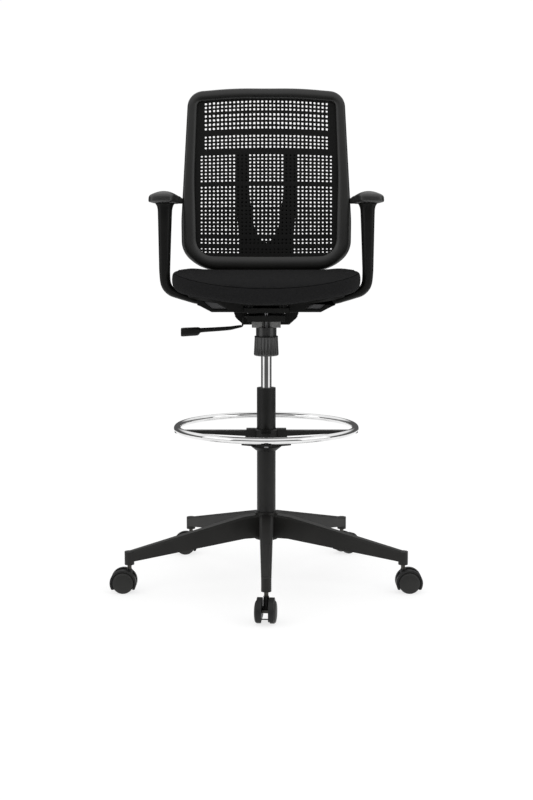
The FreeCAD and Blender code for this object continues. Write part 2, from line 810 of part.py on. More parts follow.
def make_armpad(side, label):
    body = doc.addObject("PartDesign::Body", "armpad_body")
    drawn = outline(new_sketch(body, "XY_Plane", dim.pad_low), [
        (side * dim.pad_inner, dim.pad_front), (side * dim.pad_outer, dim.pad_front),
        (side * dim.pad_outer, dim.pad_rear), (side * dim.pad_inner, dim.pad_rear)])
    block = pad(body, drawn, dim.pad_high - dim.pad_low)
    block = round_edges(body, block, 24, lambda edge: along(edge, Z_AXIS))
    block = round_edges(body, block, 12, lambda edge: edge.BoundBox.ZMin > number(dim.pad_high) - 0.1)
    middle = side * (dim.pad_inner + dim.pad_outer) / 2
    holes = [cylinder(2.5, 9, (middle, back, dim.pad_low - 1)) for back in PAD_SCREW_BACKS]
    keep(label, cut(body, fuse(holes)))


def make_arm_screws():
    middle = (dim.pad_inner + dim.pad_outer) / 2
    foot_screws = [cylinder(3, 17, (across, back, 756)) for across, back in ARM_SCREW_PLACES]
    pad_screws = [cylinder(2.5, 12, (side * middle, back, dim.pad_low - 5))
                  for side in (-1, 1) for back in PAD_SCREW_BACKS]
    pins = [link_pin(side, 219, 33) for side in (-1, 1)]
    group("arm_screws", foot_screws + pad_screws + pins)


# ---- back --------------------------------------------------------------------------------------

def back_prism(points, rounds):
    """Outline of a back part as a block; rounds gives (height along the back, radius) for corners."""
    body = doc.addObject("PartDesign::Body", "back_outline")
    block = pad(body, outline(new_sketch(body, "XZ_Plane"), points), 160, centred=True)
    for up, radius in rounds:
        block = round_edges(body, block, radius, lambda edge: along(edge, Y_AXIS)
                            and abs(edge.Vertexes[0].Z - number(up)) < 1)
    return body


def back_shell(near, far):
    """Upright curved layer between two depths behind the front of the back."""
    base = (0, -dim.back_bow, -20)
    height = dim.back_length + 40
    return cut(cylinder(dim.back_bow + far, height, base), cylinder(dim.back_bow + near, height, base))


def stand_back(made):
    """Lean a back part to its rake and set it on the back's foot."""
    lean = Rotation(X_AXIS, -number(dim.back_rake))
    return locate(made, (0, dim.back_foot_rear, dim.back_foot_height), lean)


def mirrored(points):
    """Points of the right half, then the left half in reverse."""
    left = [(-across, up) for across, up in reversed(points) if number(across) != 0]
    return points + left


def on_back(across, depth, up):
    """World position of a point given in the back's own frame."""
    lean = Rotation(X_AXIS, -number(dim.back_rake))
    foot = Vector(0, number(dim.back_foot_rear), number(dim.back_foot_height))
    return foot + lean.multVec(Vector(across, depth, up))


BACK_SCREW_HEIGHTS = (30, 62)


def back_screw_hole(radius, start, length):
    """Cylinders along the back's depth direction, in the back's own frame."""
    return [cylinder(radius, length, (0, start, up), Y_AXIS) for up in BACK_SCREW_HEIGHTS]


def make_back():
    waist = dim.back_mid_half
    rim = mirrored([
        (dim.back_heel_half, 0), (dim.back_low_half, dim.back_low),
        (waist - 2, dim.back_mid - 45), (waist - 0.6, dim.back_mid),
        (waist - 2.2, dim.back_mid + 45), (dim.back_top_half, dim.back_shoulder), (90, dim.back_length)])
    rim_block = back_prism(rim, [(0, 115), (dim.back_low, 68), (dim.back_shoulder, 38)])
    window = mirrored([(190, 39.5), (196, 254), (189, 464), (80, 476.5)])
    window_rounds = [(39.5, 45), (464, 14)]
    pin_depth, pin_height = LINK_PIN
    pin_holes = [cylinder(2.5, 13, (across, pin_depth, pin_height), X_AXIS) for across in (219, -232)]
    opened = cut(rim_block, fuse([back_prism(window, window_rounds)] + pin_holes))
    stand_back(keep("back_frame", common(opened, back_shell(0, dim.frame_thick))))
    far = dim.mesh_depth + dim.mesh_thick
    stand_back(keep("back_mesh", common(back_prism(window, window_rounds), back_shell(dim.mesh_depth, far))))

    half_lyre = [(66, 10), (71, 42), (76, 98), (80, 150), (85, 250), (87, 328), (82, 334), (58, 334),
                 (52, 328), (50, 250), (44, 195), (37, 140), (27, 100), (14, 84), (0, 80)]
    rear = dim.frame_thick + dim.support_thick
    lyre = common(back_prism(mirrored(half_lyre), []), back_shell(dim.frame_thick, rear))
    stand_back(keep("back_support", cut(lyre, fuse(back_screw_hole(4, 10, 60)))))

    low_rear, high_rear = (on_back(0, 40.2, up) for up in (16, 79))
    low_front, high_front = (on_back(0, number(rear), up) for up in (16, 79))
    stem = plate("back_bracket", [
        (20, 741), (204, 741), (low_rear.y, low_rear.z), (high_rear.y, high_rear.z),
        (high_front.y, high_front.z), (low_front.y, low_front.z), (196, 749), (20, 749)], 60)
    corners = {204: 20, 196: 12}
    block = stem.Tip
    for back, radius in corners.items():
        block = round_edges(stem, block, radius, lambda edge: along(edge, X_AXIS)
                            and abs(edge.Vertexes[0].Y - back) < 0.5)
    lean = Rotation(X_AXIS, -number(dim.back_rake))
    holes = [cylinder(4, 20, (across, back, 735)) for across, back in BOLT_PLACES[4:]]
    bolts = [upright_bolt(across, back) for across, back in BOLT_PLACES]
    for up in BACK_SCREW_HEIGHTS:
        direction = lean.multVec(Y_AXIS)
        holes.append(cylinder(4, 60, tuple(on_back(0, 10, up)), direction))
        shank = cylinder(4, 14, tuple(on_back(0, 26.2, up)), direction)
        head = cylinder(6.5, 4, tuple(on_back(0, 40.2, up)), direction)
        bolts.append(fuse([shank, head]))
    keep("back_bracket", cut(stem, fuse(holes)))
    group("seat_bolts", bolts)


# ---- foot ring ---------------------------------------------------------------------------------

def make_foot_ring():
    torus = doc.addObject("Part::Torus", "foot_ring_torus")
    bind(torus, "Radius1", dim.ring_radius)
    bind(torus, "Radius2", dim.ring_tube)
    locate(torus, (0, 0, dim.ring_height))
    under = dim.ring_height - dim.ring_tube
    reach = dim.ring_radius
    spots = [(reach, 0), (0, reach), (-reach, 0), (0, -reach)]
    keep("foot_ring_tube", cut(torus, fuse([cylinder(3, 6, (x, y, under - 1)) for x, y in spots])))

    body = new_body("foot_ring_hub")
    bore = dim.tube_radius + dim.running_gap
    low = dim.ring_hub_bottom
    top = dim.ring_hub_top
    turn(body, outline(new_sketch(body, "XZ_Plane"), [
        (bore, low), (42, low), (34, low + 7), (33, top - 3), (30, top), (bore, top)]))
    floor = under - dim.spoke_depth
    arm = pad(body, outline(new_sketch(body, "XZ_Plane"), [
        (29, low), (44, low), (66, low + 2), (66, low + 5), (53, floor), (53, top), (29, top)]),
        dim.spoke_width, centred=True)
    spin(body, [arm], 4)

    bars = []
    screws = []
    tip = under - dim.spoke_tip_depth
    for index, (x, y) in enumerate(spots):
        bar = doc.addObject("PartDesign::Body", "spoke_body")
        pad(bar, outline(new_sketch(bar, "XZ_Plane"), [
            (53, floor), (reach - 15, tip), (reach + 6, tip), (reach + 6, under), (53, under)]),
            dim.spoke_width, centred=True)
        locate(bar, (0, 0, 0), Rotation(Z_AXIS, 90 * index))
        bars.append(cut(bar, cylinder(3, 20, (x, y, tip - 2))))
        screws.append(fuse([cylinder(5, 3, (x, y, tip - 3)), cylinder(3, 9, (x, y, tip))]))
    group("foot_ring_spokes", bars)
    group("ring_screws", screws)
    top_of_collar = low - 0.3
    turned("clamp_collar", [
        (bore, dim.collar_bottom), (28, dim.collar_bottom), (41, top_of_collar - 1.5), (41, top_of_collar),
        (bore, top_of_collar)])


# ---- casters -----------------------------------------------------------------------------------

CASTERS = [
    # name, leg index, direction of the trail in degrees from +X
    ("front", 0, -95),
    ("right", 1, 0),
    ("rear_right", 2, 40),
    ("rear_left", 3, 180),
    ("left", 4, 180),
]
HOOD_CUT = 11         # height below which the hood is open
TIE_HEIGHT = 15       # height of the thin bar that ties the hood's cheeks together


def make_caster(name, index, heading):
    across, ahead = around(index, dim.stem_reach)
    facing = Rotation(Z_AXIS, heading)
    cosine = math.cos(math.radians(heading))
    sine = math.sin(math.radians(heading))
    axle_spot = (across + dim.trail * cosine, ahead + dim.trail * sine, dim.wheel_radius)

    hub = (dim.trail, -dim.fender_half, dim.wheel_radius)
    shell = cylinder(dim.hood_radius, dim.fender_half * 2, hub, Y_AXIS)
    inside = dim.hood_radius - dim.hood_rim
    depth = dim.fender_half - dim.cheek_outer + 1
    wells = [cylinder(inside, depth, (dim.trail, start, dim.wheel_radius), Y_AXIS)
             for start in (-dim.fender_half - 1, dim.cheek_outer)]
    slot = box((-40, -dim.cheek_inner, -10), (70, dim.cheek_inner, 80))
    ground = box((-40, -30, -10), (70, 30, HOOD_CUT))
    post = cylinder(7, dim.hood_top - 27, (0, 0, 27))
    bridge = box((-8, -9, 27), (9, 9, 35))
    tie = cylinder(1.5, dim.cheek_inner * 2 + 2, (dim.trail + 20, -dim.cheek_inner - 1, TIE_HEIGHT), Y_AXIS)
    axle_hole = cylinder(dim.axle_radius, 30, (dim.trail, -15, dim.wheel_radius), Y_AXIS)
    neck_hole = cylinder(dim.axle_radius, 20, (0, 0, dim.hood_top - 16))
    solid = fuse([cut(shell, fuse(wells + [slot, ground])), post, bridge, tie])
    hood = keep("caster_%s_hood" % name, cut(solid, fuse([axle_hole, neck_hole])))
    locate(hood, (across, ahead, 0), facing)

    stem = doc.addObject("PartDesign::Body", "stem_body")
    neck = dim.hood_top - 16
    high = dim.socket_bottom + dim.socket_depth - 2
    turn(stem, outline(new_sketch(stem, "XZ_Plane"), [
        (0, neck), (dim.axle_radius, neck), (dim.axle_radius, dim.hood_top),
        (dim.stem_radius, dim.hood_top), (dim.stem_radius, high), (0, high)]))
    locate(stem, (across, ahead, 0))
    length = dim.wheel_outer * 2 - 5
    axle = cylinder(dim.axle_radius, length, (
        axle_spot[0] + length * sine / 2, axle_spot[1] - length * cosine / 2, dim.wheel_radius),
        facing.multVec(Y_AXIS))
    group("caster_%s_pins" % name, [stem, axle])

    bore = dim.axle_radius + dim.running_gap
    width = dim.wheel_outer - dim.wheel_inner
    rim = dim.wheel_radius
    for letter, side in (("a", -1), ("b", 1)):
        offset = dim.wheel_inner * side
        spot = (axle_spot[0] - offset * sine, axle_spot[1] + offset * cosine, dim.wheel_radius)
        wheel = turned("caster_%s_wheel_%s" % (name, letter), [
            (bore, 0), (rim - 1.5, 0), (rim, 1.5), (rim, width - 8), (rim - 2.5, width - 3),
            (18, width - 0.6), (0, width), (0, width - 1.9), (bore, width - 1.9)])
        locate(wheel, spot, facing.multiply(Rotation(X_AXIS, -90 * side)))


# ---- build and write ---------------------------------------------------------------------------

make_base_star()
make_caster_sleeves()
make_column()
make_housing()
make_mount_block()
make_pivot()
make_tension_knob()
make_seat_plate()
make_lever()
make_seat()
for side, word in ((-1, "right"), (1, "left")):
    make_arm_bracket(side, "arm_bracket_" + word)
    make_arm(side, "arm_" + word)
    make_armpad(side, "armpad_" + word)
make_arm_screws()
make_back()
make_foot_ring()
for caster in CASTERS:
    make_caster(*caster)

doc.recompute()
for item in doc.Objects:
    if "Invalid" in item.State or "Error" in item.State:
        raise RuntimeError("%s (%s) did not recompute: %s" % (item.Name, item.Label, item.State))
for label, made in nodes.items():
    if made.Shape.isNull() or not made.Shape.isValid():
        raise RuntimeError("%s has no valid shape" % label)

os.makedirs("parts", exist_ok=True)
for label, made in nodes.items():
    made.Shape.exportStep("parts/%s.step" % label)
    print("%-24s %2d solid(s) %10.0f mm3" % (label, len(made.Shape.Solids), made.Shape.Volume))
print(len(nodes), "nodes")
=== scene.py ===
import json
import math
import random

import bmesh
import bpy
import numpy as np
from mathutils import Matrix, Vector
from mathutils.bvhtree import BVHTree


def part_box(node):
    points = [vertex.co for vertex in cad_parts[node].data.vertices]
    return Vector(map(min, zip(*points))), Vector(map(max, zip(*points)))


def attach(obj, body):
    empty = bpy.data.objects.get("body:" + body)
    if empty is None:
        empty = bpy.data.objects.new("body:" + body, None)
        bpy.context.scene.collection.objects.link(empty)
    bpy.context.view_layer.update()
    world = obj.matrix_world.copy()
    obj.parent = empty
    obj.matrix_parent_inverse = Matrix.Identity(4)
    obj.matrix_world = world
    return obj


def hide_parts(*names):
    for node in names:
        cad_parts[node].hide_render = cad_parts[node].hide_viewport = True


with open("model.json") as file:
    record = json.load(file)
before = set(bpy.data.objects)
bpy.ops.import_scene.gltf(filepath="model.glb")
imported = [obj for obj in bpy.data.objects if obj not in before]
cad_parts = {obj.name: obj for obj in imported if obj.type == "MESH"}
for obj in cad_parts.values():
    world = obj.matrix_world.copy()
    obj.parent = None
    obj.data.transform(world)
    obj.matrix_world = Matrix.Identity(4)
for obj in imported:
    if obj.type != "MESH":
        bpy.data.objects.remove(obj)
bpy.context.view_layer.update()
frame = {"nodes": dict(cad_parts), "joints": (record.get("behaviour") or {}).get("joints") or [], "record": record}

MM = 0.001
scene = bpy.context.scene

# The back stands on its own frame: x across, depth behind its front face, up along its rake.
BACK_FOOT = Vector((0, 0.165, 0.829))
BACK_RAKE = Matrix.Rotation(math.radians(-9.09), 3, "X")
BACK_BOW = 1.0            # radius of the back's curve in plan
SEAT_BOW = 1.064          # radius of the seat's curve from side to side
CUSHION_UNDER = 0.759     # underside of the cushion at its middle


# ---- mesh helpers ------------------------------------------------------------------------------

def new_piece(name, verts, faces, body, material, replaces=()):
    """A mesh piece that rides on a body and may stand for CAD nodes."""
    mesh = bpy.data.meshes.new(name)
    mesh.from_pydata([tuple(v) for v in verts], [], faces)
    mesh.validate()
    piece = bpy.data.objects.new(name, mesh)
    scene.collection.objects.link(piece)
    adopt(piece, body, material, replaces)
    return piece


def adopt(piece, body, material, replaces=()):
    """Give a mesh object its material, body and the nodes it stands for."""
    outward(piece.data)
    shade_smooth(piece)
    piece.data.materials.clear()
    piece.data.materials.append(material)
    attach(piece, body)
    if replaces:
        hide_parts(*replaces)


def shade_smooth(piece):
    for polygon in piece.data.polygons:
        polygon.use_smooth = True


def outward(mesh):
    """Turn every face to point out of the closed mesh."""
    work = bmesh.new()
    work.from_mesh(mesh)
    bmesh.ops.recalc_face_normals(work, faces=work.faces)
    work.to_mesh(mesh)
    work.free()


def modify(piece, kind, **settings):
    """Apply one modifier to a piece straight away."""
    modifier = piece.modifiers.new(kind.lower(), kind)
    for key, value in settings.items():
        setattr(modifier, key, value)
    bake(piece)


def bake(piece):
    """Replace a piece's mesh by what its modifiers make of it."""
    view_layer = bpy.context.view_layer
    view_layer.update()
    evaluated = piece.evaluated_get(bpy.context.evaluated_depsgraph_get())
    mesh = bpy.data.meshes.new_from_object(evaluated)
    mesh.name = piece.name
    piece.modifiers.clear()
    piece.data = mesh


def ring_faces(rings, around, closed_rings=False, caps=True):
    """Quads between successive rings of `around` points; caps close the first and last ring."""
    faces = []
    last = rings if closed_rings else rings - 1
    for i in range(last):
        for j in range(around):
            a = i * around + j
            b = i * around + (j + 1) % around
            c = ((i + 1) % rings) * around + (j + 1) % around
            d = ((i + 1) % rings) * around + j
            faces.append((a, b, c, d))
    if caps and not closed_rings:
        faces.append(tuple(range(around))[::-1])
        faces.append(tuple((rings - 1) * around + j for j in range(around)))
    return faces


def lathe(name, profile, body, material, replaces=(), place=Matrix(), around=72, bevel=0.0006):
    """A turned piece: profile of (radius, height) in metres, closed, spun about Z and then placed."""
    verts = []
    for radius, height in profile:
        for j in range(around):
            angle = 2 * math.pi * j / around
            verts.append(place @ Vector((radius * math.cos(angle), radius * math.sin(angle), height)))
    faces = ring_faces(len(profile), around, closed_rings=True)
    piece = new_piece(name, verts, faces, body, material, replaces)
    weld(piece)
    soft_corners(piece, bevel)


def weld(piece, distance=1e-5):
    """Join points that coincide and drop the faces that this leaves without area."""
    work = bmesh.new()
    work.from_mesh(piece.data)
    bmesh.ops.remove_doubles(work, verts=work.verts, dist=distance)
    bmesh.ops.dissolve_degenerate(work, edges=work.edges, dist=distance)
    work.to_mesh(piece.data)
    work.free()
    outward(piece.data)


def soft_corners(piece, width, segments=2):
    """Rounded sharp edges with normals that stay flat on the faces."""
    modify(piece, "BEVEL", width=width, segments=segments, limit_method="ANGLE",
           angle_limit=math.radians(32), harden_normals=False)
    shade_smooth(piece)
    modify(piece, "WEIGHTED_NORMAL", keep_sharp=False, weight=100)


def soften(node, material, width):
    """A copy of a CAD node with its sharp edges rounded, which stands for the node."""
    source = frame["nodes"][node]
    mesh = source.data.copy()
    work = bmesh.new()
    work.from_mesh(mesh)
    bmesh.ops.remove_doubles(work, verts=work.verts, dist=2e-6)
    bmesh.ops.dissolve_limit(work, angle_limit=math.radians(0.4), verts=work.verts, edges=work.edges)
    work.to_mesh(mesh)
    work.free()
    piece = bpy.data.objects.new(node + "_cover", mesh)
    scene.collection.objects.link(piece)
    adopt(piece, body_of(node), material, (node,))
    soft_corners(piece, width)


def body_of(node):
    bodies = frame["record"]["behaviour"]["bodies"]
    return [name for name, members in bodies.items() if node in members][0]


def slot_of(node):
    return [row["material_slot"] for row in frame["record"]["subparts"] if row["node"] == node][0]


def dress(node, material):
    """Give a CAD node that keeps its own shape a better material."""
    target = frame["nodes"][node]
    target.data.materials.clear()
    target.data.materials.append(material)
    for polygon in target.data.polygons:
        polygon.material_index = 0


# ---- materials ---------------------------------------------------------------------------------

def new_material(name, roughness=0.5, metallic=0.0, specular=0.5):
    material = bpy.data.materials.new(name)
    material.use_nodes = True
    shader = material.node_tree.nodes["Principled BSDF"]
    shader.inputs["Metallic"].default_value = metallic
    shader.inputs["Roughness"].default_value = roughness
    shader.inputs["Specular IOR Level"].default_value = specular
    return material, material.node_tree, shader


def add(tree, kind, **inputs):
    node = tree.nodes.new(kind)
    for key, value in inputs.items():
        node.inputs[key.replace("_", " ")].default_value = value
    return node


def object_space(tree):
    return tree.nodes.new("ShaderNodeTexCoord").outputs["Object"]


def tint(tree, factor, dark, light):
    """Colour that runs from dark to light as factor goes from 0.3 to 0.7."""
    ramp = tree.nodes.new("ShaderNodeValToRGB")
    ramp.color_ramp.elements[0].position = 0.3
    ramp.color_ramp.elements[0].color = (*dark, 1)
    ramp.color_ramp.elements[1].position = 0.7
    ramp.color_ramp.elements[1].color = (*light, 1)
    tree.links.new(factor, ramp.inputs["Fac"])
    return ramp.outputs["Color"]


def noise(tree, scale, detail=4.0, space=None):
    texture = add(tree, "ShaderNodeTexNoise", Scale=scale, Detail=detail)
    tree.links.new(space or object_space(tree), texture.inputs["Vector"])
    return texture.outputs["Fac"]


def spread(tree, factor, low, high):
    """Map a 0-1 factor to a range, for roughness."""
    node = add(tree, "ShaderNodeMapRange")
    node.inputs["To Min"].default_value = low
    node.inputs["To Max"].default_value = high
    tree.links.new(factor, node.inputs["Value"])
    return node.outputs["Result"]


def bump(tree, shader, height, strength, distance):
    node = add(tree, "ShaderNodeBump", Strength=strength, Distance=distance)
    tree.links.new(height, node.inputs["Height"])
    tree.links.new(node.outputs["Normal"], shader.inputs["Normal"])


def moulded(name, dark, light, rough=(0.38, 0.5), grain=2600, depth=0.00006, specular=0.25):
    """Moulded plastic: fine grain, slow colour drift, and roughness that varies with handling."""
    material, tree, shader = new_material(name, specular=specular)
    slow = noise(tree, 14, 5)
    tree.links.new(tint(tree, slow, dark, light), shader.inputs["Base Color"])
    tree.links.new(spread(tree, noise(tree, 60, 6), *rough), shader.inputs["Roughness"])
    bump(tree, shader, noise(tree, grain, 2), 0.35, depth)
    return material


def coated_steel(name, dark, light):
    """Powder coat: low orange-peel ripple over steel."""
    material, tree, shader = new_material(name, specular=0.28)
    tree.links.new(tint(tree, noise(tree, 20, 4), dark, light), shader.inputs["Base Color"])
    tree.links.new(spread(tree, noise(tree, 90, 5), 0.34, 0.48), shader.inputs["Roughness"])
    bump(tree, shader, noise(tree, 900, 3), 0.25, 0.00008)
    return material


def bright_metal(name, colour, rough, streak=0.0):
    """Chrome, steel or zinc plate, with faint wiping marks in the gloss."""
    material, tree, shader = new_material(name, metallic=1.0)
    darker = tuple(value * 0.86 for value in colour)
    tree.links.new(tint(tree, noise(tree, 30 + streak, 5), darker, colour), shader.inputs["Base Color"])
    gloss = spread(tree, noise(tree, 120 + streak, 6), rough * 0.7, rough * 1.4)
    tree.links.new(gloss, shader.inputs["Roughness"])
    bump(tree, shader, noise(tree, 500, 3), 0.05, 0.00003)
    return material


def woven(name, dark, light, pitch, mottle, sheen, depth):
    """Plain weave of crossed yarns a pitch apart, mottled by yarns that are darker and lighter."""
    material, tree, shader = new_material(name, roughness=0.95, specular=0.05)
    space = object_space(tree)
    # Turned about X so that the second set of yarns crosses both level and upright faces.
    turned = add(tree, "ShaderNodeMapping", Rotation=(math.radians(45), 0, 0),
                 Scale=(1, math.sqrt(2), math.sqrt(2)))
    tree.links.new(space, turned.inputs["Vector"])
    waves = []
    for direction in ("X", "Y"):
        wave = add(tree, "ShaderNodeTexWave", Scale=math.pi / (10 * pitch), Distortion=0.8, Detail=1.0)
        wave.bands_direction = direction
        tree.links.new(turned.outputs["Vector"], wave.inputs["Vector"])
        waves.append(wave.outputs["Fac"])
    weave = join(tree, "MULTIPLY", *waves)
    speckle = join(tree, "ADD", noise(tree, mottle, 4, space), join(tree, "MULTIPLY", weave, 0.35))
    shade = join(tree, "MULTIPLY", speckle, 0.82)
    tree.links.new(tint(tree, shade, dark, light), shader.inputs["Base Color"])
    shader.inputs["Sheen Weight"].default_value = sheen
    shader.inputs["Sheen Roughness"].default_value = 0.5
    bump(tree, shader, speckle, 0.5, depth)
    return material


def join(tree, operation, first, second):
    """One number from two, where the second may be a plain number."""
    node = add(tree, "ShaderNodeMath")
    node.operation = operation
    tree.links.new(first, node.inputs[0])
    if isinstance(second, float):
        node.inputs[1].default_value = second
    else:
        tree.links.new(second, node.inputs[1])
    return node.outputs[0]


BLACK = moulded("black_plastic", (0.0055, 0.0055, 0.005), (0.009, 0.009, 0.0085))
FRAME = moulded("frame_plastic", (0.005, 0.005, 0.0045), (0.008, 0.008, 0.007), (0.28, 0.36), specular=0.6)
BASE = moulded("base_plastic", (0.008, 0.0078, 0.007), (0.0125, 0.012, 0.0108), (0.4, 0.5), specular=0.3)
CASTER = moulded("caster_plastic", (0.010, 0.010, 0.010), (0.015, 0.015, 0.015), (0.4, 0.5))
WHEEL = moulded("wheel_plastic", (0.014, 0.014, 0.013), (0.02, 0.02, 0.019), (0.42, 0.54), specular=0.3)
PAD = moulded("armpad_skin", (0.014, 0.014, 0.0135), (0.02, 0.02, 0.0195), (0.36, 0.48), 1500, 0.0001, 0.8)
PANEL = moulded("bracket_panel", (0.10, 0.10, 0.103), (0.135, 0.135, 0.139), (0.45, 0.55))
KNOB = moulded("knob_plastic", (0.018, 0.018, 0.018), (0.027, 0.027, 0.026), (0.24, 0.34), specular=0.8)
STEEL_BLACK = coated_steel("black_steel", (0.008, 0.008, 0.0075), (0.0125, 0.0125, 0.012))
CHROME = bright_metal("chrome", (0.86, 0.86, 0.86), 0.05)
STEEL = bright_metal("steel", (0.42, 0.42, 0.43), 0.3)
DARK_STEEL = bright_metal("dark_steel", (0.075, 0.072, 0.065), 0.32)
ZINC = bright_metal("zinc", (0.52, 0.52, 0.51), 0.30, 25)
SEAT_FABRIC = woven("seat_fabric", (0.009, 0.009, 0.0095), (0.027, 0.027, 0.0275), 0.0011, 620, 0.0, 0.0003)
BACK_FABRIC = woven("back_mesh", (0.010, 0.010, 0.010), (0.024, 0.024, 0.0235), 0.0008, 900, 0.04, 0.0002)
THREAD = woven("seam_thread", (0.001, 0.001, 0.001), (0.003, 0.003, 0.003), 0.0006, 1500, 0.0, 0.0001)


# ---- studio ------------------------------------------------------------------------------------

CAMERA_SPOT = (0.0006, -3.4274, 0.9252)  # metres
CAMERA_DROP = 7.217       # degrees below level
CAMERA_LENS = 58.53
CAMERA_SENSOR = 36
HORIZON_LEVEL = 0.10
DOME_LEVEL = 1.0
DOME_STARTS = 0.24        # sine of the elevation where the dome starts to brighten
DOME_FULL = 0.50
BACKDROP_LEVEL = 1.02     # what the camera sees behind the object
FLOOR_RADIUS = 2.4
FLOOR_SIDES = 96
FLOOR_GLOW = 0.74
LAMP_BEARING = 62         # degrees to the side from straight in front
LAMP_REACH = 3.0
LAMP_RISE = 1.3
LAMP_AIM = 0.9
LAMP_WIDTH = 2.2
LAMP_HEIGHT = 2.4
LAMP_LEVEL = 0.95


def make_camera():
    data = bpy.data.cameras.new("camera")
    data.lens = CAMERA_LENS
    data.sensor_width = CAMERA_SENSOR
    camera = bpy.data.objects.new("camera", data)
    camera.location = CAMERA_SPOT
    camera.rotation_euler = (math.radians(90 - CAMERA_DROP), 0, 0)
    scene.collection.objects.link(camera)
    scene.camera = camera


def make_studio():
    scene.view_settings.view_transform = "Standard"
    make_world()
    make_floor()
    for side in (-1, 1):
        make_lamp(side)


def make_world():
    """White behind the object; round it, dark near the horizon and bright overhead."""
    world = bpy.data.worlds.new("studio")
    scene.world = world
    world.use_nodes = True
    tree = world.node_tree
    tree.nodes.clear()
    direction = tree.nodes.new("ShaderNodeTexCoord").outputs["Generated"]
    parts = tree.nodes.new("ShaderNodeSeparateXYZ")
    tree.links.new(direction, parts.inputs[0])
    height = add(tree, "ShaderNodeMapRange")
    height.interpolation_type = "SMOOTHSTEP"
    height.inputs["From Min"].default_value = DOME_STARTS
    height.inputs["From Max"].default_value = DOME_FULL
    height.inputs["To Min"].default_value = HORIZON_LEVEL
    height.inputs["To Max"].default_value = DOME_LEVEL
    tree.links.new(parts.outputs["Z"], height.inputs["Value"])
    shaded = add(tree, "ShaderNodeBackground", Color=(1, 1, 1, 1))
    tree.links.new(height.outputs["Result"], shaded.inputs["Strength"])
    plain = add(tree, "ShaderNodeBackground", Color=(1, 1, 1, 1), Strength=BACKDROP_LEVEL)
    path = tree.nodes.new("ShaderNodeLightPath")
    mix = tree.nodes.new("ShaderNodeMixShader")
    tree.links.new(path.outputs["Is Camera Ray"], mix.inputs[0])
    tree.links.new(shaded.outputs[0], mix.inputs[1])
    tree.links.new(plain.outputs[0], mix.inputs[2])
    output = tree.nodes.new("ShaderNodeOutputWorld")
    tree.links.new(mix.outputs[0], output.inputs["Surface"])


def make_floor():
    mesh = bpy.data.meshes.new("floor")
    turns = [2 * math.pi * i / FLOOR_SIDES for i in range(FLOOR_SIDES)]
    corners = [(FLOOR_RADIUS * math.cos(turn), FLOOR_RADIUS * math.sin(turn), 0) for turn in turns]
    mesh.from_pydata(corners, [], [tuple(range(FLOOR_SIDES))])
    floor = bpy.data.objects.new("floor", mesh)
    scene.collection.objects.link(floor)
    material, tree, shader = new_material("floor", roughness=0.9, specular=0.0)
    paper = tint(tree, noise(tree, 3, 2), (0.32, 0.32, 0.32), (0.34, 0.34, 0.34))
    tree.links.new(paper, shader.inputs["Base Color"])
    shader.inputs["Emission Color"].default_value = (1, 1, 1, 1)
    shader.inputs["Emission Strength"].default_value = FLOOR_GLOW
    mesh.materials.append(material)


def make_lamp(side):
    """Tall soft panel of light beside the object, a little in front of it."""
    bearing = math.radians(LAMP_BEARING)
    spot = Vector((side * math.sin(bearing), -math.cos(bearing), 0)) * LAMP_REACH + Vector((0, 0, LAMP_RISE))
    light = bpy.data.lights.new("side_panel", "AREA")
    light.shape = "RECTANGLE"
    light.size = LAMP_WIDTH
    light.size_y = LAMP_HEIGHT
    light.energy = LAMP_LEVEL * math.pi * LAMP_WIDTH * LAMP_HEIGHT
    lamp = bpy.data.objects.new("side_panel", light)
    lamp.location = spot
    lamp.rotation_euler = (Vector((0, 0, LAMP_AIM)) - spot).to_track_quat("-Z", "Y").to_euler()
    scene.collection.objects.link(lamp)


# ---- lofted shapes -----------------------------------------------------------------------------

def superellipse(centre, across, up, half_across, half_up, power, count):
    """Closed loop of points of a rounded rectangle in the plane of two directions."""
    loop = []
    for j in range(count):
        angle = 2 * math.pi * (j + 0.5) / count
        cosine, sine = math.cos(angle), math.sin(angle)
        a = math.copysign(abs(cosine) ** (2 / power), cosine) * half_across
        b = math.copysign(abs(sine) ** (2 / power), sine) * half_up
        loop.append(centre + across * a + up * b)
    return loop


def smooth_path(keys, steps):
    """Catmull-Rom interpolation through rows of numbers."""
    rows = [np.array(key, float) for key in keys]
    rows = [2 * rows[0] - rows[1]] + rows + [2 * rows[-1] - rows[-2]]
    made = []
    for i in range(1, len(rows) - 2):
        before, start, end, after = rows[i - 1:i + 3]
        for k in range(steps):
            t = k / steps
            linear = end - before
            square = 2 * before - 5 * start + 4 * end - after
            cube = 3 * start - before - 3 * end + after
            made.append(0.5 * (2 * start + linear * t + square * t * t + cube * t ** 3))
    made.append(rows[-2])
    return made


# ---- back --------------------------------------------------------------------------------------

def on_back(across, depth, up):
    """Chair position of a point on the curved back: across along the chord, depth behind its front."""
    dish = BACK_BOW - math.sqrt(BACK_BOW ** 2 - across ** 2)
    return BACK_FOOT + BACK_RAKE @ Vector((across, depth - dish, up))


